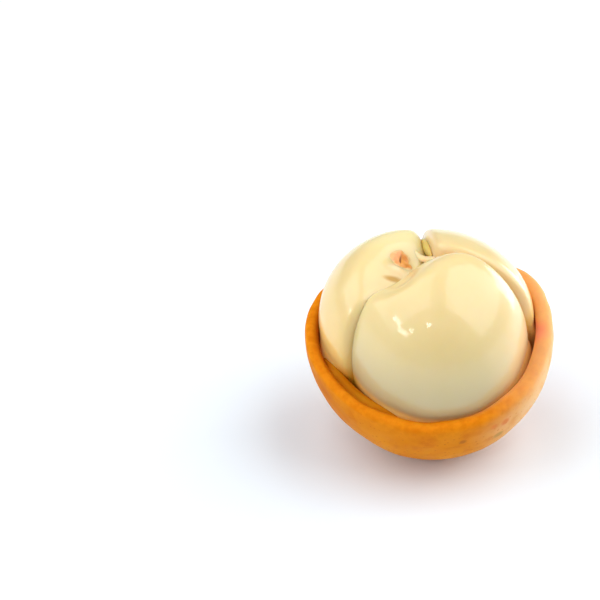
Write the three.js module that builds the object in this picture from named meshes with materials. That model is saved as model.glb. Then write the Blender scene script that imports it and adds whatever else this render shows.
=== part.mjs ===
// A half-peeled burmese grape: three pale segments of flesh, the arils, still sitting in the lower
// part of the thick orange rind. Millimetres, +Z up. +X is the viewer's right, +Y points away from
// the viewer, and the origin is the centre of the flat spot that the fruit rests on.
import * as THREE from 'three';
import { mergeVertices } from 'three/addons/utils/BufferGeometryUtils.js';

const DEGREE = Math.PI / 180;

// Rind cup: a hollow ball, torn open round its middle.
const FRUIT_RADIUS = 16.5;
const RIND_THICKNESS = 2.0;
const REST_FLAT_DEPTH = 0.6;
const CUP_CENTRE = new THREE.Vector3(0, 0, FRUIT_RADIUS - REST_FLAT_DEPTH);
// Latitude of the torn rim, in degrees, at equal steps of azimuth counted from +X towards +Y.
const RIM_LATITUDES = [14, 11, 7, 4, 1, -9, -14, -6];
// The rind is thinner on the side where it stands off the flesh, and pressed in low on the other.
const THIN_SIDE = { azimuth: 5, depth: 0.6, spread: 0.25 };
const PRESSED_SIDE = { azimuth: 211, latitude: -30, depth: 0.7, spread: 0.25 };
const CUP_SIDES = 48;
const CUP_WALL_STEPS = 12;
const CUP_RIM_STEPS = 5;

// Flesh: three arils round one axis, which leans a little to the left and to the back.
const FLESH_CENTRE = new THREE.Vector3(-0.1, -0.3, CUP_CENTRE.z + 1.4);
const LEAN_LEFT = 4;
const LEAN_BACK = 3;
const FLESH_LEAN = new THREE.Euler(-LEAN_BACK * DEGREE, -LEAN_LEFT * DEGREE, 0);
const CREASE_GAP = 0.3;
// A crease is an upright plane beside the axis. Its shift is along its normal, towards higher azimuth.
const CREASE_LEFT_BACK = { azimuth: 99, shift: -1.4 };
const CREASE_FRONT_LEFT = { azimuth: 211, shift: -1.6 };
const CREASE_BACK_FRONT = { azimuth: 346, shift: 1.2 };
// Point over the crown that the arils' inner shoulders slope up to, from FLESH_CENTRE.
const CROWN = new THREE.Vector3(-2.9, -0.9, 10.9);
const ARIL_FACES = 9;
// Space between the flesh and the rind's inner wall, and how fast it opens above the rim, in
// millimetres for a square degree.
const WALL_GAP = 0.3;
const WALL_FLARE = 0.02;
const WALL_SHARPNESS = 200;

// An aril runs from its first crease to its second, with rising azimuth. Its ball is an ellipsoid with
// its own height above and below its middle. The core is the point inside it that its surface is
// measured from, shoulderDrop is how far its shoulder stays below the crown, and sharpness says how
// tightly its edges are rounded.
const ARILS = [
  {
    name: 'aril_front',
    from: CREASE_FRONT_LEFT,
    to: CREASE_BACK_FRONT,
    ball: { centre: new THREE.Vector3(0.9, 0, -0.4), width: 12.5, depth: 13.95, above: 14.0, below: 17.0 },
    core: new THREE.Vector3(2.0, -6.9, 0.8),
    shoulderDrop: 0.9,
    sharpness: 11.3,
  },
  {
    name: 'aril_left',
    from: CREASE_LEFT_BACK,
    to: CREASE_FRONT_LEFT,
    ball: { centre: new THREE.Vector3(-1.9, 1.4, 1.25), width: 12.4, depth: 12.6, above: 11.2, below: 18.0 },
    core: new THREE.Vector3(-6.7, 2.5, 1.5),
    shoulderDrop: 2.6,
    sharpness: 8,
  },
  {
    name: 'aril_back',
    from: CREASE_BACK_FRONT,
    to: CREASE_LEFT_BACK,
    ball: { centre: new THREE.Vector3(0.4, 0.4, 1.2), width: 13.6, depth: 13.8, above: 11.2, below: 18.0 },
    core: new THREE.Vector3(5.6, 5.1, 1.5),
    shoulderDrop: 1.4,
    sharpness: 8,
  },
];

// End of the fruit's central column, a small button on the shoulder of the left aril.
const COLUMN_TIP = new THREE.Vector3(-2.9, 1.8, 9.3);
const COLUMN_TIP_RADII = new THREE.Vector3(1.9, 1.6, 1.0);
const COLUMN_TIP_FACES = 4;
const COLUMN_TIP_SHARPNESS = 5;

const RIND_FINISH = { color: 0xe8932a, roughness: 0.5, metalness: 0 };
const ARIL_FINISH = { color: 0xf1dfab, roughness: 0.3, metalness: 0 };
const COLUMN_FINISH = { color: 0xe6a25c, roughness: 0.6, metalness: 0 };

// Unit vector at an azimuth and a latitude, both in radians.
function direction(azimuth, latitude) {
  return new THREE.Vector3(
    Math.cos(latitude) * Math.cos(azimuth),
    Math.cos(latitude) * Math.sin(azimuth),
    Math.sin(latitude),
  );
}

// 1 where two unit vectors agree, falling smoothly to 0 as the angle between them grows.
function closeness(a, b, spread) {
  return Math.exp((a.dot(b) - 1) / spread);
}

// Latitude of the rim at any azimuth: a closed Catmull-Rom curve through RIM_LATITUDES.
function rimLatitude(azimuth) {
  const count = RIM_LATITUDES.length;
  const place = (azimuth / (2 * Math.PI)) * count;
  const first = Math.floor(place);
  const t = place - first;
  const [a, b, c, d] = [-1, 0, 1, 2].map((step) => RIM_LATITUDES[(first + step + count) % count]);
  const slope = (c - a) * t;
  const bend = (2 * a - 5 * b + 4 * c - d) * t * t;
  const twist = (3 * b - a - 3 * c + d) * t * t * t;
  return 0.5 * (2 * b + slope + bend + twist) * DEGREE;
}

function outerRadius(towards) {
  const pressed = direction(PRESSED_SIDE.azimuth * DEGREE, PRESSED_SIDE.latitude * DEGREE);
  return FRUIT_RADIUS - PRESSED_SIDE.depth * closeness(towards, pressed, PRESSED_SIDE.spread);
}

function innerRadius(azimuth) {
  const thinSide = direction(THIN_SIDE.azimuth * DEGREE, 0);
  const thinning = THIN_SIDE.depth * closeness(direction(azimuth, 0), thinSide, THIN_SIDE.spread);
  return FRUIT_RADIUS - RIND_THICKNESS + thinning;
}

// Points of the cup's section at one azimuth, from the edge of the flat spot up the outside, over
// the half-round rim and down the inside, without the two points on the axis.
function cupSection(azimuth) {
  const rim = rimLatitude(azimuth);
  const flatEdge = -Math.asin(CUP_CENTRE.z / FRUIT_RADIUS);
  const points = [];
  for (let step = 0; step <= CUP_WALL_STEPS; step += 1) {
    const towards = direction(azimuth, flatEdge + ((rim - flatEdge) * step) / CUP_WALL_STEPS);
    const point = towards.clone().multiplyScalar(outerRadius(towards)).add(CUP_CENTRE);
    point.z = step === 0 ? 0 : Math.max(point.z, 0);
    points.push(point);
  }
  const rimTowards = direction(azimuth, rim);
  const rimUp = direction(azimuth, rim + Math.PI / 2);
  const middle = (outerRadius(rimTowards) + innerRadius(azimuth)) / 2;
  const half = outerRadius(rimTowards) - middle;
  for (let step = 1; step < CUP_RIM_STEPS; step += 1) {
    const turn = (Math.PI * step) / CUP_RIM_STEPS;
    points.push(
      rimTowards.clone().multiplyScalar(middle + half * Math.cos(turn))
        .addScaledVector(rimUp, half * Math.sin(turn))
        .add(CUP_CENTRE),
    );
  }
  const bottom = -Math.PI / 2;
  for (let step = CUP_WALL_STEPS; step > 0; step -= 1) {
    const towards = direction(azimuth, bottom + ((rim - bottom) * step) / CUP_WALL_STEPS);
    points.push(towards.clone().multiplyScalar(innerRadius(azimuth)).add(CUP_CENTRE));
  }
  return points;
}

// Closed surface through equal sections set round an axis, with one point on the axis at each end.
function closedRound(sections, firstPole, lastPole) {
  const sides = sections.length;
  const length = sections[0].length;
  const points = [...sections.flat(), firstPole, lastPole];
  const firstIndex = sides * length;
  const index = [];
  for (let side = 0; side < sides; side += 1) {
    const here = side * length;
    const next = ((side + 1) % sides) * length;
    index.push(firstIndex, next, here);
    for (let step = 0; step < length - 1; step += 1) {
      index.push(here + step, next + step, next + step + 1);
      index.push(here + step, next + step + 1, here + step + 1);
    }
    index.push(here + length - 1, next + length - 1, firstIndex + 1);
  }
  const geometry = new THREE.BufferGeometry().setFromPoints(points);
  geometry.setIndex(index);
  return geometry;
}

function rindCup() {
  const sections = Array.from({ length: CUP_SIDES }, (_, side) =>
    cupSection((2 * Math.PI * side) / CUP_SIDES));
  const innerBottom = new THREE.Vector3(0, 0, CUP_CENTRE.z - FRUIT_RADIUS + RIND_THICKNESS);
  return closedRound(sections, new THREE.Vector3(0, 0, 0), innerBottom);
}

// Closed surface through the points that are given for every direction.
function starShape(faces, pointTowards) {
  const sphere = new THREE.IcosahedronGeometry(1, faces);
  sphere.deleteAttribute('normal');
  sphere.deleteAttribute('uv');
  const geometry = mergeVertices(sphere);
  const positions = geometry.getAttribute('position');
  const towards = new THREE.Vector3();
  for (let i = 0; i < positions.count; i += 1) {
    towards.fromBufferAttribute(positions, i).normalize();
    const point = pointTowards(towards);
    positions.setXYZ(i, point.x, point.y, point.z);
  }
  return geometry;
}

// Distance from a point inside an ellipsoid to its surface.
function distanceToEllipsoid(core, towards, centre, radii) {
  const start = core.clone().sub(centre).divide(radii);
  const run = towards.clone().divide(radii);
  const a = run.dot(run);
  const b = run.dot(start);
  const c = start.dot(start) - 1;
  return (-b + Math.sqrt(b * b - a * c)) / a;
}

function distanceToBall(core, towards, { centre, width, depth, above, below }) {
  const upper = distanceToEllipsoid(core, towards, centre, new THREE.Vector3(width, depth, above));
  if (core.z - centre.z + towards.z * upper > 0) return upper;
  return distanceToEllipsoid(core, towards, centre, new THREE.Vector3(width, depth, below));
}

// Share of the way to a plane that one unit along a direction covers, or 0 when it leads away.
function reachOfPlane(towards, { normal, distance }) {
  return Math.max(towards.dot(normal), 0) / distance;
}

// Planes that bound an aril, as outward normals and distances from its core: its two creases and
// its shoulder, which is square to the line from the core to the crown.
function arilPlanes({ core, from, to, shoulderDrop }) {
  const toCrown = CROWN.clone().sub(core);
  const first = direction((from.azimuth + 90) * DEGREE, 0);
  const second = direction((to.azimuth + 90) * DEGREE, 0);
  return [
    { normal: first.clone().negate(), distance: first.dot(core) - from.shift - CREASE_GAP / 2 },
    { normal: second, distance: to.shift - second.dot(core) - CREASE_GAP / 2 },
    { normal: toCrown.clone().normalize(), distance: toCrown.length() - shoulderDrop },
  ];
}

// Distance to the nearest of several surfaces, given as reaches, with the edges between them rounded
// by taking the p-norm of the reaches in place of the largest.
function roundedDistance(reaches, sharpness) {
  const sum = reaches.reduce((total, reach) => total + reach ** sharpness, 0);
  return sum ** (-1 / sharpness);
}

// Point on an aril's surface: on its ball, cut by its planes.
function arilPoint(aril, towards) {
  const reaches = arilPlanes(aril).map((plane) => reachOfPlane(towards, plane));
  reaches.push(1 / distanceToBall(aril.core, towards, aril.ball));
  return aril.core.clone().addScaledVector(towards, roundedDistance(reaches, aril.sharpness));
}

// Point of the flesh, drawn in to WALL_GAP inside the rind's inner wall where it would come nearer.
function heldByWall(point) {
  const arm = point.clone().applyEuler(FLESH_LEAN).add(FLESH_CENTRE).sub(CUP_CENTRE);
  const azimuth = Math.atan2(arm.y, arm.x);
  const overRim = (Math.asin(arm.z / arm.length()) - rimLatitude(azimuth)) / DEGREE;
  const limit = innerRadius(azimuth) - WALL_GAP + WALL_FLARE * Math.max(overRim, 0) ** 2;
  const kept = (1 + (arm.length() / limit) ** WALL_SHARPNESS) ** (-1 / WALL_SHARPNESS);
  const upright = new THREE.Quaternion().setFromEuler(FLESH_LEAN).invert();
  return arm.multiplyScalar(kept).add(CUP_CENTRE).sub(FLESH_CENTRE).applyQuaternion(upright);
}

function arilShape(aril) {
  return starShape(ARIL_FACES, (towards) => heldByWall(arilPoint(aril, towards)));
}

// End of the central column: an ellipsoid cut flat underneath, just clear of the aril below it.
function columnTip(aril) {
  const shoulder = arilPlanes(aril).at(-1);
  const below = arilPoint(aril, COLUMN_TIP.clone().sub(aril.core).normalize());
  const height = COLUMN_TIP.clone().sub(below).dot(shoulder.normal);
  const underside = { normal: shoulder.normal.clone().negate(), distance: height - CREASE_GAP };
  return starShape(COLUMN_TIP_FACES, (towards) => {
    const reaches = [reachOfPlane(towards, underside), towards.clone().divide(COLUMN_TIP_RADII).length()];
    const distance = roundedDistance(reaches, COLUMN_TIP_SHARPNESS);
    return COLUMN_TIP.clone().addScaledVector(towards, distance);
  });
}

function namedMesh(name, geometry, finish) {
  geometry.computeVertexNormals();
  const mesh = new THREE.Mesh(geometry, new THREE.MeshStandardMaterial(finish));
  mesh.name = name;
  return mesh;
}

const flesh = new THREE.Group();
flesh.position.copy(FLESH_CENTRE);
flesh.rotation.copy(FLESH_LEAN);
for (const aril of ARILS) {
  flesh.add(namedMesh(aril.name, arilShape(aril), ARIL_FINISH));
}
const leftAril = ARILS.find((aril) => aril.name === 'aril_left');
flesh.add(namedMesh('column_tip', columnTip(leftAril), COLUMN_FINISH));

const fruit = new THREE.Group();
fruit.add(namedMesh('rind_cup', rindCup(), RIND_FINISH));
fruit.add(flesh);

export default fruit;
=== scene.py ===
"""Looks of a half-peeled burmese grape: a cup of thick orange rind, torn open round its middle, with
three wet cream arils in it and the end of the fruit's central column between them.

Metres, +Z up, +X to the viewer's right, +Y away from the viewer. Every surface of the fruit is a numpy
formula of two parameters on a grid. Azimuths and latitudes among the named values are in degrees, and
colours are 8-bit display values."""
import math

import bpy
import numpy as np
from mathutils import Matrix, Vector


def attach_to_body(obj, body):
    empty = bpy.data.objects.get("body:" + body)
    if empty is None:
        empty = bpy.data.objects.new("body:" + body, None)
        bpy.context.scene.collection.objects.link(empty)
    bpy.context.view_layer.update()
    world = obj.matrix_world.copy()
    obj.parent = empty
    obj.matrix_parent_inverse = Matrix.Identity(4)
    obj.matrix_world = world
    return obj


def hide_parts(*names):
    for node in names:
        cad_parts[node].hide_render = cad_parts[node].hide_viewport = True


MM = 0.001
UP = np.array([0, 0, 1.0])

# Ripples: how many waves make one up. Each ripple has a height, which is a length, degrees or a share,
# a wavelength, which on unit directions is a share of the radius, and a seed.
RIPPLE_WAVES = 24

# Rind cup: a ball with a flat rest spot, torn off along a rim of changing height
FRUIT_RADIUS = 16.5 * MM
RIND_THICKNESS = 2.0 * MM
REST_FLAT_DEPTH = 0.6 * MM
CUP_CENTRE = np.array([0, 0, FRUIT_RADIUS - REST_FLAT_DEPTH])
REST_EDGE_RADIANS = -math.asin(CUP_CENTRE[2] / FRUIT_RADIUS)
RIM_LATITUDES = np.array([14, 11, 7, 4, 1, -9, -14, -6], float)
RIM_WANDER = {"height": 0.5, "length": 0.45, "seed": 3}
RIM_FULLNESS = 0.85
RIM_UNEVENNESS = {"height": 0.1, "length": 0.2, "seed": 4}
THICK_SIDE = {"azimuth": 5, "gain": 0.2 * MM, "spread": 0.25}
PRESSED_SIDE = {"azimuth": 211, "latitude": -30, "depth": 0.7 * MM, "spread": 0.25}
RIND_SIDES = 400
FLAT_ROWS = 8
WALL_ROWS = 90
RIM_ROWS = 36

# Swellings of the skin, which are full from a share of the way up to the rim
SKIN_SWELLINGS = [
    {"height": 0.08 * MM, "length": 0.5, "seed": 1},
    {"height": 0.03 * MM, "length": 0.17, "seed": 2},
]
SWELLINGS_FULL_FROM = 0.25

# Values of the rind's attribute depth at the rest spot and on the lining
REST_DEPTH = -3.0
LINING_DEPTH = 1.0

# Flesh: its own frame leans in the cup, and three upright crease planes part the arils
FLESH_CENTRE = np.array([-0.1 * MM, -0.3 * MM, CUP_CENTRE[2] + 1.4 * MM])
LEAN_LEFT = math.radians(4)
LEAN_BACK = math.radians(3)
CREASE_GAP = 0.12 * MM
CREASE_LEFT_BACK = {"azimuth": 99, "shift": -1.4 * MM}
CREASE_FRONT_LEFT = {"azimuth": 211, "shift": -1.6 * MM}
CREASE_BACK_FRONT = {"azimuth": 346, "shift": 1.2 * MM}
CROWN = np.array([-2.9, -0.9, 10.9]) * MM
FLESH_SWELLING = {"height": 0.03 * MM, "length": 7 * MM, "seed": 11}

# Places on the arils that are raised, sunk or only tinted, in the flesh's own frame
TIP_HOLLOW = {"place": np.array([-2.9, 3.0, 9.3]) * MM, "reach": 1.5 * MM, "rise": -0.6 * MM}
PALE_PAD = {
    "place": np.array([-3.86, 0.95, 8.9]) * MM, "reach": np.array([1.2, 0.7, 1.0]) * MM, "rise": 0.45 * MM,
}
POCKET = {
    "place": np.array([-11.3, -5.5, -4.2]) * MM, "reach": np.array([3.0, 3.0, 2.6]) * MM, "rise": -0.5 * MM,
}
LOW_SHOULDER = {"place": np.array([-3.6, -3.6, 10.6]) * MM, "reach": 2.8 * MM, "rise": -1.1 * MM}
# Where painted olive shadow lies in the crease between the front and left arils
OLIVE_CREASE_SHADOW = {"place": np.array([-4.2, -0.67, 8.5]) * MM, "reach": np.array([1.8, 0.55, 0.9]) * MM}

# How many times further than the hollow and the pocket their tints reach (the pocket's is painted light),
# how far the painted shade on inner faces reaches from a crease, and the highest value of the arils'
# attribute below_rim
TIP_TINT_SPREAD = 1.1
POCKET_LIGHT_SPREAD = 1.2
CREASE_SHADE_REACH = 1.1 * MM
DEEPEST_BELOW_RIM = 3

# Arils: the two creases beside each, its ball, the core that its surface is measured from, how sharp its
# edges are, how far it is tucked past each crease, the degrees over the rim where its painted orange bounce
# light starts, and how strong the painted shade on its inner faces is
FRONT_ARIL = {
    "name": "front_aril", "node": "aril_front", "from": CREASE_FRONT_LEFT, "to": CREASE_BACK_FRONT,
    "centre": np.array([0.9, 0, -0.4]) * MM, "radii": np.array([12.5, 13.95]) * MM,
    "above": 14.0 * MM, "below": 17 * MM, "core": np.array([2.0, -6.9, 0.8]) * MM,
    "shoulder_drop": 0.9 * MM, "sharpness": 11.3, "tuck": (0, 0), "marks": [LOW_SHOULDER],
    "bounce_height": 4, "crease_shade_share": 0.2,
}
LEFT_ARIL = {
    "name": "left_aril", "node": "aril_left", "from": CREASE_LEFT_BACK, "to": CREASE_FRONT_LEFT,
    "centre": np.array([-1.9, 1.4, 1.25]) * MM, "radii": np.array([12.4, 12.6]) * MM,
    "above": 11.2 * MM, "below": 18 * MM, "core": np.array([-6.7, 2.5, 1.5]) * MM,
    "shoulder_drop": 2.6 * MM, "sharpness": 12, "tuck": (0, 2.0 * MM),
    "marks": [TIP_HOLLOW, PALE_PAD, POCKET], "bounce_height": 50, "crease_shade_share": 0.3,
}
BACK_ARIL = {
    "name": "back_aril", "node": "aril_back", "from": CREASE_BACK_FRONT, "to": CREASE_LEFT_BACK,
    "centre": np.array([0.4, 0.4, 1.2]) * MM, "radii": np.array([13.6, 13.8]) * MM,
    "above": 11.2 * MM, "below": 18 * MM, "core": np.array([5.6, 5.1, 1.5]) * MM,
    "shoulder_drop": 1.4 * MM, "sharpness": 10, "tuck": (0, 0), "marks": [],
    "bounce_height": 20, "crease_shade_share": 1.0,
}
ARIL_RINGS = 180
ARIL_SIDES = 320

# How the rind's wall holds the flesh: the gap left, the flare above the rim, and the degrees over the rim
# and shares of the way to the wall between which the flesh comes to be pressed against it
WALL_GAP = 0.05 * MM
WALL_FLARE = 0.02 * MM
WALL_SHARPNESS = 200
PRESSED_HEIGHTS = (2, -5)
PRESSED_SHARES = (0.9, 0.97)

# End of the central column: a low lens in its hollow, with a tail towards the crease
COLUMN_TIP = np.array([-2.97, 3.1, 9.3]) * MM
TIP_REACH = np.array([1.6, 1.4]) * MM
TIP_RISE = 0.35 * MM
TIP_SUNK = 0.15 * MM
TIP_DEPTH = 0.6 * MM
TIP_TAIL = {"azimuth": -42, "length": 1.3 * MM, "spread": 0.08}
TIP_SLIT = {"shift": 0.05 * MM, "width": 0.2 * MM, "length": 0.9 * MM, "depth": 0.13 * MM}
TIP_OUTLINE_RIPPLE = {"height": 0.1, "length": 0.9, "seed": 22}
TIP_LUMPS = {"height": 0.3, "length": 1.3 * MM, "seed": 21}
TIP_SIDES = 120
TIP_ROWS = 40

# Membranes in the creases, each from a start to an end in degrees down from upright
MEMBRANE_DEPTH = 2.4 * MM
MEMBRANES = [
    {"crease": CREASE_LEFT_BACK, "arils": (LEFT_ARIL, BACK_ARIL), "sunk": 1.3 * MM,
     "start": 14, "end": 80, "thickness": 0.95 * MM},
    {"crease": CREASE_FRONT_LEFT, "arils": (FRONT_ARIL, LEFT_ARIL), "sunk": 1.8 * MM,
     "start": 38, "end": 95, "thickness": 0.5 * MM},
    {"crease": CREASE_BACK_FRONT, "arils": (BACK_ARIL, FRONT_ARIL), "sunk": 0.9 * MM,
     "start": 12, "end": 80, "thickness": 0.5 * MM},
]
MEMBRANE_STEPS = 120
PROFILE_SIDES = 32

# Ridge where two membranes meet beside the end of the column
RIDGE_PATH = np.array([
    [-1.9, 6.2, 9.2], [-1.1, 5.0, 8.9], [-0.4, 4.0, 8.6], [0.3, 3.0, 8.9], [1.0, 2.3, 9.3],
    [1.9, 1.6, 9.8], [2.8, 1.2, 10.1],
]) * MM
RIDGE_RADIUS = 0.45 * MM
RIDGE_STEPS = 100

# Roll of darker orange that fills the gap between the rim and the flesh at the front left, as painted
# shade of the seam there, from a start to an end in azimuth, some degrees below the rim
SEAM_SHADE_ROLL = {"start": 184, "end": 262, "inset": 0.8 * MM, "below": 4.0, "radius": 0.95 * MM}
SEAM_ROLL_STEPS = 200

# Skin: the azimuth that its pale cheek of painted light faces, its marks in the fruit's frame and the
# share of their reach that is full, its blotches and pores as counts to the metre, where a pore starts
# and is full, and the relief of the blotches
LIT_CHEEK_AZIMUTH = -25
SKIN_MARKS = [
    {"place": (4.0 * MM, -14.8 * MM, 10.0 * MM), "reach": 0.7 * MM, "colour": (186, 104, 34)},
    {"place": (9.5 * MM, -12.9 * MM, 11.8 * MM), "reach": 0.9 * MM, "colour": (224, 128, 74)},
    {"place": (8.0 * MM, -13.8 * MM, 11.7 * MM), "reach": 0.7 * MM, "colour": (224, 128, 74)},
    {"place": (8.8 * MM, -12.1 * MM, 9.0 * MM), "reach": 1.1 * MM, "colour": (194, 138, 70)},
    {"place": (-13.7 * MM, -7.7 * MM, 13.2 * MM), "reach": 2.5 * MM, "colour": (196, 100, 14)},
]
# Salmon spot on the rim's inner edge at the right: painted light, the glow of light through the rind
PAINTED_RIM_GLOW = {"place": (13.7 * MM, -3.0 * MM, 18.6 * MM), "reach": 2.5 * MM, "colour": (246, 146, 108)}
MARK_CORE = 0.3
WIDE_BLOTCHES = 120.0
SMALL_BLOTCHES = 420.0
RIM_GRAIN = 1100.0
PORES = 1300.0
PORE_EDGE = (0.25, 0.1)
SKIN_RELIEF = 0.1 * MM

# Colours of the rind
SKIN = (216, 124, 16)
SKIN_LIGHT = (226, 140, 30)
SKIN_BLOTCH = (204, 104, 18)
SKIN_PORE = (204, 108, 20)
# Deeper orange at the left: painted shade, for the shade the skin lies in on that side
SKIN_LEFT_SHADE = (200, 108, 10)
# Pale cheek: painted light, the skin washed out by the strong light from the right
LIT_CHEEK = (246, 202, 150)
LIT_CHEEK_BLOTCH = (240, 178, 108)
LIT_CHEEK_PORE = (230, 162, 96)
RIM = (216, 124, 12)
RIM_LIGHT = (228, 140, 22)
# Paler at the right: painted light from the strong light on that side
RIM_RIGHT_LIT = (246, 196, 140)
# Brown inner edge of the rim: painted shade where the rim meets the flesh, paler at the right with painted
# light
EDGE_SHADE = (184, 98, 10)
EDGE_RIGHT_LIT = (246, 172, 104)
LINING = (244, 158, 24)
# Salmon lining at the right: painted light, the glow of light through the rind
LINING_RIGHT_LIT = (252, 166, 120)

# Colours of the arils
FLESH = (230, 208, 148)
FLESH_LIGHT = (236, 214, 158)
# Greyer low down: painted shade on the lower flesh, away from the lights above
FLESH_LOW_SHADE = (206, 190, 144)
# Warmer at the right: painted light, the warm glow from the rind on that side
FLESH_RIGHT_LIT = (244, 212, 156)
FLESH_BACK = (234, 224, 172)
# Beige on inner faces: painted shade in the creases between the arils
FLESH_CREASE_SHADE = (228, 198, 146)
# Orange down in the cup: painted bounce light from the rind
FLESH_CUP_BOUNCE = (246, 206, 122)
# Dark orange deep in the cup: painted shade in the groove by the rind
FLESH_DEEP_SHADE = (214, 126, 16)
# Olive in one crease: painted shadow
FLESH_OLIVE_SHADOW = (190, 142, 4)
FLESH_BY_TIP = (224, 172, 92)
# Bright orange in the pocket: painted light, brightening the shaded pocket where the flesh meets the rim
FLESH_POCKET_LIGHT = (252, 184, 44)
FLESH_PAD = (240, 216, 176)

# Colours of the column's end, and pairs for the membranes, the ridge and the roll of painted seam shade
TIP_PINK = (246, 178, 116)
TIP_PINK_BLOTCH = (240, 160, 98)
TIP_BROWN = (228, 158, 74)
TIP_BROWN_BLOTCH = (208, 132, 50)
TIP_DARK = (150, 84, 26)
TIP_CREAM = (236, 206, 142)
MEMBRANE_PAIR = ((218, 188, 96), (228, 202, 120))
RIDGE_PAIR = ((240, 214, 160), (246, 222, 172))
# Darker orange of the roll in the seam: painted shade
SEAM_SHADE_PAIR = ((196, 116, 10), (206, 136, 24))

# Blotches of the flesh, the end of the column and the membranes, as counts to the metre
FLESH_BLOTCHES = 110.0
TIP_BLOTCHES = 900.0
MEMBRANE_BLOTCHES = 300.0

# Gloss of the finishes, as an index of refraction
MOIST = 1.5
WET = 1.4
SATIN = 1.08

# Camera: the photograph's frame in pixels, and where the middle of the cup lies in it
FRAME_SIZE = 600
CUP_PIXEL = (428, 336)
PIXELS_PER_METRE = 7.56 / MM
CAMERA_DISTANCE = 0.3
CAMERA_ELEVATION = math.radians(36)
CAMERA_CLIP = (0.01, 10)
SENSOR = 36.0

# Studio: floor, surroundings, and lamps as name, place, width, height and watts
FLOOR_REACH = 1.5
FLOOR_COLOUR = (0.82, 0.9, 0.97, 1)
SURROUNDINGS = 0.15
LAMPS = [
    ("right", (0.55, 0.02, 0.6), 1.0, 1.0, 7.5),
    ("left", (-0.45, 0.02, 0.55), 0.9, 0.9, 4.6),
    ("right_back", (0.13, 0.10, 0.035), 0.07, 0.07, 0.08),
    ("left_pane", (-0.375, -0.18, 0.25), 0.12, 0.04, 0.16),
    ("right_pane", (-0.33, -0.285, 0.218), 0.12, 0.04, 0.16),
    ("hook", (-0.256, -0.330, 0.252), 0.035, 0.035, 0.07),
    ("spot", (-0.112, -0.345, 0.317), 0.04, 0.04, 0.08),
]


def direction(azimuth, latitude):
    """Unit vectors at azimuths and latitudes in radians."""
    flat = np.cos(latitude)
    return np.stack([flat * np.cos(azimuth), flat * np.sin(azimuth), np.sin(latitude)], -1)


def heading(degrees):
    """Level unit vector at an azimuth in degrees."""
    return direction(math.radians(degrees), 0.0)


def closeness(directions, centre, spread):
    """1 where directions agree with a unit vector, falling smoothly to 0 with the angle between."""
    return np.exp((directions @ centre - 1) / spread)


def smooth_step(value, start, end):
    """0 at start, 1 at end, with a smooth cubic between."""
    share = np.clip((value - start) / (end - start), 0, 1)
    return share * share * (3 - 2 * share)


def mound(points, mark, spread=1):
    """1 at a mark's place, falling smoothly to 0 around it, over its reach times a spread."""
    return np.exp(-(((points - mark["place"]) / (spread * mark["reach"])) ** 2).sum(-1))


def ripple(points, wave):
    """Smooth random height: a mean of cosine waves in seeded directions, times the wave's height."""
    random = np.random.default_rng(wave["seed"])
    headings = random.normal(size=(RIPPLE_WAVES, 3))
    headings /= np.linalg.norm(headings, axis=1, keepdims=True)
    phases = random.uniform(0, 2 * np.pi, RIPPLE_WAVES)
    total = np.zeros(points.shape[:-1])
    for towards, phase in zip(headings, phases):
        total += np.cos(points @ towards * (2 * np.pi / wave["length"]) + phase)
    return wave["height"] * (total / math.sqrt(2 * RIPPLE_WAVES))


def catmull_rom(before, start, end, after, share):
    """Place at a share of the way from start to end, on the cubic that passes through both with slopes of
    half the step between the places on either side of each."""
    return 0.5 * (
        2 * start + (end - before) * share
        + (2 * before - 5 * start + 4 * end - after) * share ** 2
        + (3 * start - before - 3 * end + after) * share ** 3
    )


def curve_through(places, count):
    """Points along an open Catmull-Rom curve through places, carried straight on at its two ends."""
    padded = np.concatenate([2 * places[:1] - places[1:2], places, 2 * places[-1:] - places[-2:-1]])
    run = np.linspace(0, len(places) - 1, count)
    first = np.minimum(run.astype(int), len(places) - 2)
    beside = [padded[first + step] for step in range(4)]
    return catmull_rom(*beside, (run - first)[:, None])


def taper(count):
    """Thickness over count steps of a strip: the root of a half sine, thin at both ends."""
    return np.sqrt(np.sin(np.linspace(0, np.pi, count + 2)[1:-1]))


def mesh_object(name, points, faces_by_size, attributes, material):
    """Mesh object from a point array, arrays of faces with equal corner counts and point attributes."""
    mesh = bpy.data.meshes.new(name)
    mesh.vertices.add(len(points))
    mesh.vertices.foreach_set("co", points.astype(np.float32).ravel())
    loops = np.concatenate([faces.ravel() for faces in faces_by_size])
    sizes = np.concatenate([np.full(len(faces), faces.shape[1]) for faces in faces_by_size])
    mesh.loops.add(len(loops))
    mesh.loops.foreach_set("vertex_index", loops.astype(np.int32))
    mesh.polygons.add(len(sizes))
    mesh.polygons.foreach_set("loop_start", (np.cumsum(sizes) - sizes).astype(np.int32))
    for key, values in attributes.items():
        layer = mesh.attributes.new(key, "FLOAT", "POINT")
        layer.data.foreach_set("value", values.astype(np.float32).ravel())
    mesh.update(calc_edges=True)
    mesh.validate()
    mesh.shade_smooth()
    mesh.materials.append(material)
    piece = bpy.data.objects.new(name, mesh)
    bpy.context.scene.collection.objects.link(piece)
    return piece


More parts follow.
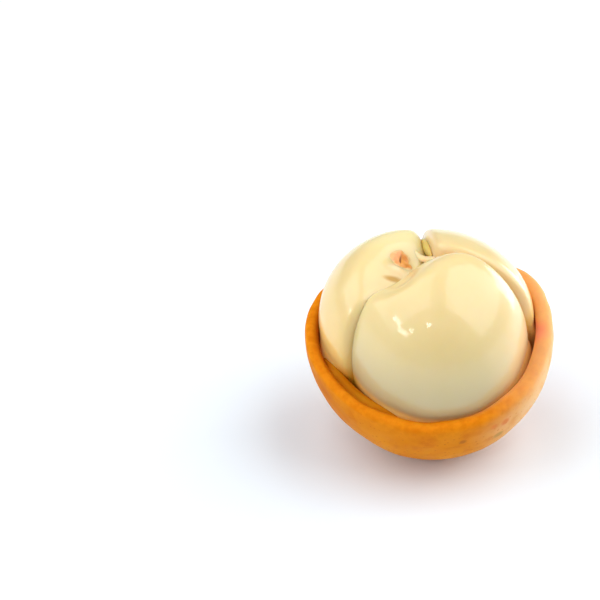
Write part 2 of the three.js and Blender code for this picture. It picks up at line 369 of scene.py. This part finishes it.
def closed_grid(name, rows, poles, attributes, material):
    """Closed surface from rows of points round an axis, with one point at each end.

    rows has shape (row, side, 3). Each attribute is a pair: its values on the rows, and its values
    at the two poles. The faces are turned to point outwards by the sign of the volume they hold."""
    count, sides, _ = rows.shape
    index = np.arange(count * sides).reshape(count, sides)
    after = np.roll(index, -1, axis=1)
    quads = np.stack([index[:-1], after[:-1], after[1:], index[1:]], -1).reshape(-1, 4)
    first = np.stack([np.full(sides, count * sides), after[0], index[0]], -1)
    last = np.stack([np.full(sides, count * sides + 1), index[-1], after[-1]], -1)
    triangles = np.concatenate([first, last])
    points = np.concatenate([rows.reshape(-1, 3), poles])
    corners = points[quads] - points.mean(0)
    normals = np.cross(corners[:, 2] - corners[:, 0], corners[:, 3] - corners[:, 1])
    if np.einsum("ij,ij->", corners.mean(1), normals) < 0:
        quads = quads[:, ::-1]
        triangles = triangles[:, ::-1]
    flat = {key: np.concatenate([np.ravel(values), np.ravel(ends)])
            for key, (values, ends) in attributes.items()}
    return mesh_object(name, points, [quads, triangles], flat, material)


def rim_latitude(azimuth):
    """Latitude of the torn rim in radians: a closed Catmull-Rom curve through RIM_LATITUDES, which stand at
    even steps of azimuth, with a small wander."""
    count = len(RIM_LATITUDES)
    place = (azimuth / (2 * np.pi) * count) % count
    first = np.floor(place).astype(int)
    beside = [RIM_LATITUDES[(first + step) % count] for step in (-1, 0, 1, 2)]
    smooth = catmull_rom(*beside, place - first)
    return np.radians(smooth + ripple(direction(azimuth, 0 * azimuth), RIM_WANDER))


def rind_radii(towards, azimuth):
    """Outer and inner radius of the rind along directions from the middle of the cup.

    The outside is a ball, pressed in at one place. The inner wall is a ball one thickness smaller, which
    comes a little further in on the thick side."""
    pressed = direction(math.radians(PRESSED_SIDE["azimuth"]), math.radians(PRESSED_SIDE["latitude"]))
    outer = FRUIT_RADIUS - PRESSED_SIDE["depth"] * closeness(towards, pressed, PRESSED_SIDE["spread"])
    level = direction(azimuth, 0 * azimuth)
    thicker = THICK_SIDE["gain"] * closeness(level, heading(THICK_SIDE["azimuth"]), THICK_SIDE["spread"])
    return outer, FRUIT_RADIUS - RIND_THICKNESS - thicker


def rind_skin(azimuth, rim):
    """Outside of the rind at even steps of latitude from the rest spot's edge to the rim, and how far it
    swells at the rim. The swellings die away towards the rest spot."""
    share = np.linspace(0, 1, WALL_ROWS)[:, None]
    towards = direction(azimuth, REST_EDGE_RADIANS + (rim - REST_EDGE_RADIANS) * share)
    radius, _ = rind_radii(towards, azimuth)
    bumps = sum(ripple(towards, wave) for wave in SKIN_SWELLINGS)
    swell = np.minimum(1, share / SWELLINGS_FULL_FROM) * bumps
    points = towards * (radius + swell)[..., None] + CUP_CENTRE
    points[..., 2] = np.maximum(points[..., 2], 0)
    points[0, :, 2] = 0
    return points, swell[-1:]


def rind_rim(azimuth, rim, swell):
    """Torn rim, and its depth through the rind: a half-round arch from the skin to the lining, a little
    fuller than a circle and uneven in height."""
    turn = np.linspace(0, np.pi, RIM_ROWS + 2)[1:-1, None]
    out = direction(azimuth, rim)
    up = direction(azimuth, rim + np.pi / 2)
    outer, inner = rind_radii(out, azimuth)
    outer = outer + swell
    middle = (outer + inner) / 2
    half = (outer - inner) / 2
    across = middle + half * np.sign(np.cos(turn)) * np.abs(np.cos(turn)) ** RIM_FULLNESS
    above = half * np.sin(turn) ** RIM_FULLNESS * (1 + ripple(out, RIM_UNEVENNESS))
    points = out * across[..., None] + up * above[..., None] + CUP_CENTRE
    return points, turn / np.pi + 0 * across


def rind_lining(azimuth, rim):
    """Inside of the rind at even steps of latitude, from the rim down to the floor of the cup."""
    share = np.linspace(1, 0, WALL_ROWS + 1)[:-1, None]
    latitude = -np.pi / 2 + (rim + np.pi / 2) * share
    towards = direction(azimuth, latitude)
    _, radius = rind_radii(towards, azimuth)
    return towards * (radius + 0 * latitude)[..., None] + CUP_CENTRE


def rind_cup(material):
    """Cup of rind: one section, carried round the vertical axis.

    At every azimuth the section runs out across the flat rest spot, up the skin, over the rim and down
    the lining. The attribute depth is lowest at the rest spot, 0 at the top of the skin and 1 on the
    lining."""
    azimuth = np.linspace(0, 2 * np.pi, RIND_SIDES, endpoint=False)[None, :]
    rim = rim_latitude(azimuth)
    edge = direction(azimuth, REST_EDGE_RADIANS + 0 * azimuth) * FRUIT_RADIUS * [1, 1, 0]
    flat = np.linspace(0, 1, FLAT_ROWS + 1)[1:-1, None, None] * edge
    skin, swell = rind_skin(azimuth, rim)
    over, over_depth = rind_rim(azimuth, rim, swell)
    lining = rind_lining(azimuth, rim)
    skin_depth = np.linspace(REST_DEPTH, 0, WALL_ROWS)[:, None] + 0 * rim
    depth = np.concatenate([
        np.full(flat.shape[:2], REST_DEPTH),
        skin_depth,
        over_depth,
        np.full(lining.shape[:2], LINING_DEPTH),
    ])
    rows = np.concatenate([flat, skin, over, lining])
    poles = np.array([[0, 0, 0], [0, 0, CUP_CENTRE[2] - FRUIT_RADIUS + RIND_THICKNESS]])
    return closed_grid("rind", rows, poles, {"depth": (depth, [REST_DEPTH, LINING_DEPTH])}, material)


def star_directions(pole, rings, sides):
    """Unit vectors on a grid of rings and sides round a level pole direction, and the two poles."""
    pole = pole / np.linalg.norm(pole)
    side = np.cross(pole, UP)
    side /= np.linalg.norm(side)
    third = np.cross(pole, side)
    down = (np.arange(1, rings) * np.pi / rings)[:, None, None]
    around = (np.arange(sides) * 2 * np.pi / sides)[None, :, None]
    rows = np.cos(down) * pole + np.sin(down) * (np.cos(around) * side + np.sin(around) * third)
    return rows, np.stack([pole, -pole])


def ellipsoid_distance(start, towards, centre, radii, height):
    """Distance from a point inside an ellipsoid to its surface, along unit vectors: the positive root of
    the quadratic that a line meets it at, once the ellipsoid is scaled to a unit ball."""
    stretch = 1 / np.array([*radii, height])
    offset = (start - centre) * stretch
    run = towards * stretch
    square = (run * run).sum(-1)
    linear = (run * offset).sum(-1)
    constant = (offset * offset).sum(-1) - 1
    return (-linear + np.sqrt(linear * linear - square * constant)) / square


def ball_distance(shape, start, towards):
    """Distance from a point to an aril's ball, whose upper and lower halves have their own heights."""
    upper = ellipsoid_distance(start, towards, shape["centre"], shape["radii"], shape["above"])
    lower = ellipsoid_distance(start, towards, shape["centre"], shape["radii"], shape["below"])
    rising = start[2] - shape["centre"][2] + towards[..., 2] * upper > 0
    return np.where(rising, upper, lower)


def flesh_to_fruit(points):
    """Turns and moves points from the flesh's own frame into the fruit's."""
    turn = np.array(Matrix.Rotation(-LEAN_BACK, 3, "X") @ Matrix.Rotation(-LEAN_LEFT, 3, "Y"))
    return points @ turn.T + FLESH_CENTRE


def crease_normal(crease):
    """Unit vector square to a crease's plane, level."""
    return heading(crease["azimuth"] + 90)


def aril_distance(shape, towards):
    """Distance from an aril's core to its surface along unit vectors.

    The p-norm of the reaches of its ball, of its two crease planes and of the shoulder plane that
    slopes up to the crown rounds every edge. A tuck carries a side past its crease, under the
    rounded edge of the aril beside it."""
    core = shape["core"]
    first = crease_normal(shape["from"])
    second = crease_normal(shape["to"])
    crown = CROWN - core
    height = np.linalg.norm(crown)
    planes = [
        (-first, first @ core - shape["from"]["shift"] - CREASE_GAP / 2 + shape["tuck"][0]),
        (second, shape["to"]["shift"] - second @ core - CREASE_GAP / 2 + shape["tuck"][1]),
        (crown / height, height - shape["shoulder_drop"]),
    ]
    power = shape["sharpness"]
    total = ball_distance(shape, core, towards) ** -power
    for normal, distance in planes:
        total += (np.maximum(towards @ normal, 0) / distance) ** power
    return total ** (-1 / power)


def height_over_rim(arms):
    """Degrees that arms from the middle of the cup point above the rim."""
    azimuth = np.arctan2(arms[..., 1], arms[..., 0])
    latitude = np.arcsin(arms[..., 2] / np.linalg.norm(arms, axis=-1))
    return np.degrees(latitude - rim_latitude(azimuth))


def held_by_wall(points):
    """Fruit-frame points drawn in, where they would cross it, to just inside the rind's inner wall.

    The p-norm of a point's own radius and the wall's draws it in. Above the rim the limit flares out with
    the square of the height. Below the rim the outer side of the flesh is pressed against the wall."""
    arms = points - CUP_CENTRE
    radius = np.linalg.norm(arms, axis=-1)
    over_rim = height_over_rim(arms)
    _, wall = rind_radii(arms / radius[..., None], np.arctan2(arms[..., 1], arms[..., 0]))
    limit = wall - WALL_GAP + WALL_FLARE * np.maximum(over_rim, 0) ** 2
    power = WALL_SHARPNESS
    kept = radius * (1 + (radius / limit) ** power) ** (-1 / power)
    pressed = smooth_step(over_rim, *PRESSED_HEIGHTS) * smooth_step(kept / limit, *PRESSED_SHARES)
    kept += (limit - kept) * pressed
    return CUP_CENTRE + arms * (kept / radius)[..., None]


def aril_points(shape, towards):
    """Points of an aril's surface in the flesh's own frame: its distance along unit vectors from its core,
    with very low swellings, and a mound or a hollow at each of its marks."""
    points = shape["core"] + towards * aril_distance(shape, towards)[..., None]
    rise = ripple(points, FLESH_SWELLING)
    for mark in shape["marks"]:
        rise = rise + mark["rise"] * mound(points, mark)
    return points + towards * rise[..., None]


def aril_looks(shape, towards):
    """Points of an aril in the fruit's frame along unit vectors from its core, and their attributes.

    The attribute for inner faces, painted shade, is highest at a crease's plane; below_rim, which carries
    painted orange bounce light and painted shade, grows from 0 at the aril's height for the bounce over the
    rim to DEEPEST_BELOW_RIM down in the cup; the others are mounds at the tinted places, of which the
    olive crease's carries painted shadow and the pocket's painted light."""
    points = aril_points(shape, towards)
    in_fruit = held_by_wall(flesh_to_fruit(points))
    creases = (shape["from"], shape["to"])
    nearest = np.minimum(*(np.abs(points @ crease_normal(crease) - crease["shift"]) for crease in creases))
    # How far down in the cup a point is, for the painted bounce light and shade there
    down = 1 - height_over_rim(in_fruit - CUP_CENTRE) / shape["bounce_height"]
    return in_fruit, {
        # Painted olive shadow in the crease between the front and left arils
        "olive_shadow": mound(points, OLIVE_CREASE_SHADOW),
        # Painted shade on inner faces, highest at a crease's plane
        "inner_face_shade": shape["crease_shade_share"] * np.exp(-(nearest / CREASE_SHADE_REACH) ** 2),
        "below_rim": np.clip(down, 0, DEEPEST_BELOW_RIM),
        "pad": mound(points, PALE_PAD),
        "by_tip": mound(points, TIP_HOLLOW, TIP_TINT_SPREAD),
        # Painted light in the pocket
        "pocket_light": mound(points, POCKET, POCKET_LIGHT_SPREAD),
    }


def aril(shape, material):
    """One aril: a star shape on a grid of directions from its core, whose poles lie in the creases."""
    directions, ends = star_directions(np.cross(UP, shape["core"]), ARIL_RINGS, ARIL_SIDES)
    rows, on_rows = aril_looks(shape, directions)
    poles, on_poles = aril_looks(shape, ends)
    attributes = {key: (on_rows[key], on_poles[key]) for key in on_rows}
    return closed_grid(shape["name"], rows, poles, attributes, material)


def column_sheet(outline, lift):
    """Upper or lower sheet of the column's end, from its middle to its outline, and its attributes.

    Places on scaled-down outlines are thrown from the left aril's core onto the aril's surface, and lifted
    from there by the height of a half-round section with lumps. The upper sheet has a slit across it."""
    share = np.linspace(0, 1, TIP_ROWS)
    offset = share[:, None, None] * outline
    places = COLUMN_TIP + np.concatenate([offset, 0 * offset[..., :1]], -1)
    arms = places - LEFT_ARIL["core"]
    towards = arms / np.linalg.norm(arms, axis=-1, keepdims=True)
    thick = np.sqrt(1 - share[:, None] ** 2)
    rise = lift * thick * (1 + ripple(places, TIP_LUMPS)) - TIP_SUNK
    slit = np.exp(-((offset[..., 0] - TIP_SLIT["shift"]) / TIP_SLIT["width"]) ** 2
                  - (offset[..., 1] / TIP_SLIT["length"]) ** 2)
    if lift > 0:
        rise = rise - TIP_SLIT["depth"] * slit * thick
    points = aril_points(LEFT_ARIL, towards) + towards * rise[..., None]
    looks = {"side": offset[..., 0] / TIP_REACH[0], "slit": slit, "edge": share[:, None] + 0 * slit}
    return flesh_to_fruit(points), looks


def column_end(material):
    """End of the column: a low lens of two sheets on an uneven oval outline with a tail on one side."""
    around = np.linspace(0, 2 * np.pi, TIP_SIDES, endpoint=False)
    outwards = direction(around, 0 * around)
    longer = TIP_TAIL["length"] * closeness(outwards, heading(TIP_TAIL["azimuth"]), TIP_TAIL["spread"])
    uneven = 1 + ripple(outwards, TIP_OUTLINE_RIPPLE)
    outline = outwards[:, :2] * (TIP_REACH * uneven[:, None] + longer[:, None])
    top, on_top = column_sheet(outline, TIP_RISE)
    bottom, on_bottom = column_sheet(outline, -TIP_DEPTH)
    rows = np.concatenate([top[1:], bottom[-2:0:-1]])
    poles = np.stack([top[0, 0], bottom[0, 0]])
    attributes = {key: (np.concatenate([on_top[key][1:], on_bottom[key][-2:0:-1]]),
                        [on_top[key][0, 0], on_bottom[key][0, 0]]) for key in on_top}
    return closed_grid("column_end", rows, poles, attributes, material)


def membrane(number, strip, material):
    """Pale membrane in one crease: an oval profile, thin at both ends, carried along an arc in the crease's
    plane, a little below the surfaces of the two arils beside it."""
    along = heading(strip["crease"]["azimuth"])
    across = crease_normal(strip["crease"])
    middle = across * strip["crease"]["shift"]
    lean = np.radians(np.linspace(strip["start"], strip["end"], MEMBRANE_STEPS))[:, None]
    out = np.sin(lean) * along + np.cos(lean) * UP
    top = np.minimum(*(ball_distance(shape, middle, out) for shape in strip["arils"])) - strip["sunk"]
    around = np.linspace(0, 2 * np.pi, PROFILE_SIDES, endpoint=False)[None, :]
    thin = taper(MEMBRANE_STEPS)[:, None]
    reach = top[:, None] - MEMBRANE_DEPTH / 2 * (1 - np.cos(around) * thin)
    side = strip["thickness"] / 2 * np.sin(around) * thin
    rows = middle + out[:, None] * reach[..., None] + across * side[..., None]
    poles = np.stack([rows[0].mean(0), rows[-1].mean(0)])
    return closed_grid(f"membrane_{number}", flesh_to_fruit(rows), flesh_to_fruit(poles), {}, material)


def tapered_roll(name, path, radius, material):
    """Round profile carried along a path, thin at both ends."""
    along = np.gradient(path, axis=0)
    along /= np.linalg.norm(along, axis=1, keepdims=True)
    side = np.cross(along, UP)
    side /= np.linalg.norm(side, axis=1, keepdims=True)
    up = np.cross(side, along)
    around = np.linspace(0, 2 * np.pi, PROFILE_SIDES, endpoint=False)[None, :, None]
    profile = np.cos(around) * side[:, None] + np.sin(around) * up[:, None]
    rows = path[:, None] + radius * taper(len(path))[:, None, None] * profile
    return closed_grid(name, rows, path[[0, -1]], {}, material)


def ridge(material):
    """Soft ridge beside the end of the column: a tapered roll on a smooth curve through RIDGE_PATH."""
    path = flesh_to_fruit(curve_through(RIDGE_PATH, RIDGE_STEPS))
    return tapered_roll("ridge", path, RIDGE_RADIUS, material)


def seam_shade_roll(material):
    """Roll of painted seam shade at the front left: a tapered roll along the inner wall, a little below the
    rim.
    """
    azimuth = np.radians(np.linspace(SEAM_SHADE_ROLL["start"], SEAM_SHADE_ROLL["end"], SEAM_ROLL_STEPS))
    towards = direction(azimuth, rim_latitude(azimuth) - math.radians(SEAM_SHADE_ROLL["below"]))
    _, wall = rind_radii(towards, azimuth)
    path = CUP_CENTRE + towards * (wall - SEAM_SHADE_ROLL["inset"])[:, None]
    return tapered_roll("seam_shade_roll", path, SEAM_SHADE_ROLL["radius"], material)


class Paint:
    """Short ways to add and join shader nodes in one material."""

    def __init__(self, name):
        self.material = bpy.data.materials.new(name)
        self.material.use_nodes = True
        self.tree = self.material.node_tree
        self.shader = self.tree.nodes["Principled BSDF"]

    def put(self, socket, value):
        """Joins a socket to another one, or sets it to a value."""
        if isinstance(value, bpy.types.NodeSocket):
            self.tree.links.new(value, socket)
        else:
            socket.default_value = value

    def add(self, kind, inputs=None, **settings):
        """New node with settings, and inputs by name or number."""
        node = self.tree.nodes.new(kind)
        for key, value in settings.items():
            setattr(node, key, value)
        for key, value in (inputs or {}).items():
            self.put(node.inputs[key], value)
        return node

    def finish(self, inputs):
        """Sets or joins the surface shader's inputs, and gives back the material."""
        for key, value in inputs.items():
            self.put(self.shader.inputs[key], value)
        return self.material

    def place(self):
        """Place on the piece, in the fruit's frame."""
        return self.add("ShaderNodeTexCoord").outputs["Object"]

    def along(self, where):
        """A place's X, Y and Z."""
        return self.add("ShaderNodeSeparateXYZ", {0: where}).outputs

    def attribute(self, name):
        """One of the piece's own point attributes."""
        return self.add("ShaderNodeAttribute", attribute_name=name).outputs["Fac"]

    def noise(self, where, scale, detail=3.0):
        """Cloudy noise about 0.5, with blotches of which scale fit into a metre."""
        inputs = {"Vector": where, "Scale": scale, "Detail": detail}
        return self.add("ShaderNodeTexNoise", inputs).outputs["Fac"]

    def vector_math(self, operation, first, second):
        """Number that a vector operation makes of two vectors."""
        return self.add("ShaderNodeVectorMath", {0: first, 1: second}, operation=operation).outputs["Value"]

    def span(self, value, low, high):
        """0 at low, 1 at high, smooth between and level beyond."""
        inputs = {"Value": value, "From Min": low, "From Max": high}
        return self.add("ShaderNodeMapRange", inputs, interpolation_type="SMOOTHSTEP").outputs["Result"]

    def mix(self, share, first, second):
        """First colour where the share is 0, second where it is 1; each is a socket or a named colour."""
        # The node has its colours at inputs 6 and 7, and the mixed colour at output 2
        inputs = {0: share, 6: shown(first), 7: shown(second)}
        return self.add("ShaderNodeMix", inputs, data_type="RGBA").outputs[2]

    def tint(self, first, value, low, high, second):
        """First colour, turning into the second while a value goes from low to high."""
        return self.mix(self.span(value, low, high), first, second)

    def marked(self, colour, where, mark):
        """A colour with a mark on it: full in the core of the mark, fading out at its reach."""
        distance = self.vector_math("DISTANCE", where, mark["place"])
        return self.tint(colour, distance, mark["reach"], MARK_CORE * mark["reach"], mark["colour"])

    def bump(self, height, distance, strength):
        """Surface direction with a fine relief."""
        inputs = {"Height": height, "Distance": distance, "Strength": strength}
        return self.add("ShaderNodeBump", inputs).outputs["Normal"]


def shown(colour):
    """Linear colour from 8-bit display values, by the sRGB curve; a socket stays as it is."""
    if isinstance(colour, bpy.types.NodeSocket):
        return colour
    values = np.array(colour) / 255
    linear = np.where(values <= 0.04045, values / 12.92, ((values + 0.055) / 1.055) ** 2.4)
    return (*linear.tolist(), 1.0)


def rind_finish():
    """Orange skin, blotched and finely pored, darker at the left with painted shade, with a pale cheek of
    painted light and a few marks. The torn rim is smoother, the lining's edge brown with painted shade, and
    the lining orange; all three are salmon or paler at the right with painted light, and a painted salmon
    glow of light through the rind lies on the rim there."""
    paint = Paint("rind_finish")
    where = paint.place()
    depth = paint.attribute("depth")
    right = paint.along(where)["X"]
    facing = paint.vector_math("DOT_PRODUCT", where, heading(LIT_CHEEK_AZIMUTH).tolist())
    wide = paint.noise(where, WIDE_BLOTCHES)
    small = paint.noise(where, SMALL_BLOTCHES, 5.0)
    grain = paint.noise(where, RIM_GRAIN)
    pores = paint.add("ShaderNodeTexVoronoi", {"Vector": where, "Scale": PORES}).outputs["Distance"]

    skin = paint.tint(SKIN, wide, 0.35, 0.65, SKIN_LIGHT)
    skin = paint.tint(skin, small, 0.5, 0.8, SKIN_BLOTCH)
    skin = paint.tint(skin, pores, *PORE_EDGE, SKIN_PORE)
    # Pale cheek of painted light from the right, blotched and pored
    pale = paint.tint(LIT_CHEEK, small, 0.45, 0.75, LIT_CHEEK_BLOTCH)
    pale = paint.tint(pale, pores, *PORE_EDGE, LIT_CHEEK_PORE)
    skin = paint.tint(skin, facing, 9.5 * MM, 19 * MM, pale)
    # Painted shade: the skin darker towards the left
    skin = paint.tint(skin, right, -4 * MM, -18 * MM, SKIN_LEFT_SHADE)
    for mark in SKIN_MARKS:
        skin = paint.marked(skin, where, mark)

    rim = paint.tint(RIM, grain, 0.3, 0.7, RIM_LIGHT)
    # Painted light: the rim paler towards the right
    rim = paint.tint(rim, right, 6 * MM, 22 * MM, RIM_RIGHT_LIT)
    # Painted shade: the rim's inner edge brown, paler towards the right with painted light
    edge = paint.tint(EDGE_SHADE, right, 2 * MM, 12 * MM, EDGE_RIGHT_LIT)
    # Painted light: the lining salmon towards the right
    lining = paint.tint(LINING, right, -8 * MM, 12 * MM, LINING_RIGHT_LIT)
    colour = paint.tint(skin, depth, -0.5, 0.3, rim)
    # Painted shade on the inner edge of the rim
    colour = paint.tint(colour, depth, 0.45, 0.8, edge)
    colour = paint.tint(colour, depth, 0.85, LINING_DEPTH, lining)
    # Painted light: the salmon glow on the rim at the right
    colour = paint.marked(colour, where, PAINTED_RIM_GLOW)
    return paint.finish({
        "Base Color": colour, "Normal": paint.bump(small, SKIN_RELIEF, 0.35),
        "Roughness": 0.45, "IOR": SATIN,
        "Subsurface Weight": 0.5, "Subsurface Radius": (1.0, 0.45, 0.12), "Subsurface Scale": 2 * MM,
    })


def aril_finish():
    """Wet cream flesh that light soaks into. Painted shade makes it greyer low down, beige on inner faces,
    olive in one crease and dark orange deep in the cup; painted light makes it warmer at the right,
    orange down in the cup and bright orange in the pocket. It is also paler at the back, and tinted by the
    column's end and on the pad."""
    paint = Paint("aril_finish")
    where = paint.place()
    along = paint.along(where)
    below_rim = paint.attribute("below_rim")
    wide = paint.noise(where, FLESH_BLOTCHES)
    colour = paint.tint(FLESH, wide, 0.3, 0.7, FLESH_LIGHT)
    # Painted shade: greyer towards the bottom
    colour = paint.tint(colour, along["Z"], 25 * MM, 15 * MM, FLESH_LOW_SHADE)
    # Painted light: warmer towards the right
    colour = paint.tint(colour, along["X"], 6 * MM, 14 * MM, FLESH_RIGHT_LIT)
    colour = paint.tint(colour, along["Y"], 2 * MM, 10 * MM, FLESH_BACK)
    # Painted shade on inner faces near the creases
    colour = paint.mix(paint.attribute("inner_face_shade"), colour, FLESH_CREASE_SHADE)
    # Painted light: orange bounce from the rind down in the cup, then painted shade deeper down
    colour = paint.tint(colour, below_rim, 0.0, 1.0, FLESH_CUP_BOUNCE)
    colour = paint.tint(colour, below_rim, 1.7, 2.8, FLESH_DEEP_SHADE)
    # Painted shadow: olive in the crease between the front and left arils
    colour = paint.tint(colour, paint.attribute("olive_shadow"), 0.2, 0.9, FLESH_OLIVE_SHADOW)
    colour = paint.tint(colour, paint.attribute("by_tip"), 0.2, 1.1, FLESH_BY_TIP)
    # Painted light: bright orange in the shaded pocket
    colour = paint.tint(colour, paint.attribute("pocket_light"), 0.25, 0.9, FLESH_POCKET_LIGHT)
    colour = paint.mix(paint.attribute("pad"), colour, FLESH_PAD)
    return paint.finish({
        "Base Color": colour, "Roughness": 0.35, "IOR": WET, "Coat Weight": 0.6, "Coat Roughness": 0.06,
        "Subsurface Weight": 0.6, "Subsurface Radius": (1.0, 0.7, 0.35), "Subsurface Scale": 2.2 * MM,
    })


def column_finish():
    """Moist tissue, salmon pink on one side of the dark slit and orange brown on the other, with a ragged
    edge of cream."""
    paint = Paint("column_finish")
    blotch = paint.noise(paint.place(), TIP_BLOTCHES)
    inputs = {0: paint.attribute("edge"), 1: blotch}
    ragged = paint.add("ShaderNodeMath", inputs, operation="ADD").outputs["Value"]
    pink = paint.tint(TIP_PINK, blotch, 0.4, 0.6, TIP_PINK_BLOTCH)
    brown = paint.tint(TIP_BROWN, blotch, 0.4, 0.6, TIP_BROWN_BLOTCH)
    colour = paint.tint(pink, paint.attribute("side"), -0.15, 0.1, brown)
    colour = paint.tint(colour, paint.attribute("slit"), 0.3, 0.9, TIP_DARK)
    colour = paint.tint(colour, ragged, 1.2, 1.5, TIP_CREAM)
    return paint.finish({
        "Base Color": colour, "Roughness": 0.4,
        "Subsurface Weight": 0.4, "Subsurface Radius": (1.0, 0.5, 0.2), "Subsurface Scale": 0.6 * MM,
    })


def membrane_finish(name, first, second, gloss):
    """Thin membrane, softly blotched in two colours."""
    paint = Paint(name)
    blotch = paint.noise(paint.place(), MEMBRANE_BLOTCHES)
    return paint.finish({
        "Base Color": paint.tint(first, blotch, 0.3, 0.7, second),
        "Roughness": 0.4, "IOR": gloss, "Subsurface Weight": 0.4, "Subsurface Scale": 1 * MM,
    })


def floor():
    """Plain pale floor: one wide flat square."""
    finish = Paint("floor_finish").finish({"Base Color": FLOOR_COLOUR, "Roughness": 0.9})
    points = np.array([[-1, -1, 0], [1, -1, 0], [1, 1, 0], [-1, 1, 0]]) * FLOOR_REACH
    return mesh_object("floor", points, [np.array([[0, 1, 2, 3]])], {}, finish)


def camera():
    """Camera at the photograph's angle, placed so that the cup's middle falls on CUP_PIXEL."""
    focal = PIXELS_PER_METRE * CAMERA_DISTANCE
    data = bpy.data.cameras.new("camera")
    data.sensor_width = SENSOR
    data.lens = SENSOR * focal / FRAME_SIZE
    data.clip_start, data.clip_end = CAMERA_CLIP
    eye = bpy.data.objects.new("camera", data)
    turn = Matrix.Rotation(math.pi / 2 - CAMERA_ELEVATION, 4, "X")
    seen = Vector((
        (CUP_PIXEL[0] - FRAME_SIZE / 2) / focal * CAMERA_DISTANCE,
        (FRAME_SIZE / 2 - CUP_PIXEL[1]) / focal * CAMERA_DISTANCE,
        -CAMERA_DISTANCE,
    ))
    place = Vector(CUP_CENTRE) - turn.to_3x3() @ seen
    eye.matrix_world = Matrix.Translation(place) @ turn
    bpy.context.scene.collection.objects.link(eye)
    bpy.context.scene.camera = eye


def lamp(name, place, width, height, watts):
    """Flat soft light at a place, aimed at the fruit."""
    data = bpy.data.lights.new(name, "AREA")
    data.shape = "RECTANGLE"
    data.size = width
    data.size_y = height
    data.energy = watts
    light = bpy.data.objects.new(name, data)
    light.location = place
    light.rotation_euler = (Vector(CUP_CENTRE) - Vector(place)).to_track_quat("-Z", "Y").to_euler()
    bpy.context.scene.collection.objects.link(light)


def studio():
    """White surroundings, wide soft lights at the right and the left, small ones for the highlights."""
    world = bpy.data.worlds.new("studio")
    world.use_nodes = True
    background = world.node_tree.nodes["Background"]
    background.inputs["Color"].default_value = (1, 1, 1, 1)
    background.inputs["Strength"].default_value = SURROUNDINGS
    bpy.context.scene.world = world
    for values in LAMPS:
        lamp(*values)
    bpy.context.scene.view_settings.view_transform = "Standard"


def attach(piece, node=None):
    """Makes a piece ride on the fruit's one body, and in place of a CAD node if one is
    named."""
    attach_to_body(piece, "root")
    if node:
        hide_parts(node)


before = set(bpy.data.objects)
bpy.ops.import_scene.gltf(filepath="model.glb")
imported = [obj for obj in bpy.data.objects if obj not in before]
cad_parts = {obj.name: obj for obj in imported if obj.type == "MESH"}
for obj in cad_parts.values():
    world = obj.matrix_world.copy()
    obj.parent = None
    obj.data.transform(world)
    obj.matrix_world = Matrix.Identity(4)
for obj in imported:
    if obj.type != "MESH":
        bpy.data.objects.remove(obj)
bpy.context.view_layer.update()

camera()
studio()
floor()

attach(rind_cup(rind_finish()), "rind_cup")
flesh = aril_finish()
for shape in (FRONT_ARIL, LEFT_ARIL, BACK_ARIL):
    attach(aril(shape, flesh), shape["node"])
attach(column_end(column_finish()), "column_tip")
between = membrane_finish("membrane_finish", *MEMBRANE_PAIR, MOIST)
for number, strip in enumerate(MEMBRANES, 1):
    attach(membrane(number, strip, between))
attach(ridge(membrane_finish("ridge_finish", *RIDGE_PAIR, MOIST)))
# Painted shade: a darker orange roll in the seam at the front left
attach(seam_shade_roll(membrane_finish("seam_shade_finish", *SEAM_SHADE_PAIR, SATIN)))
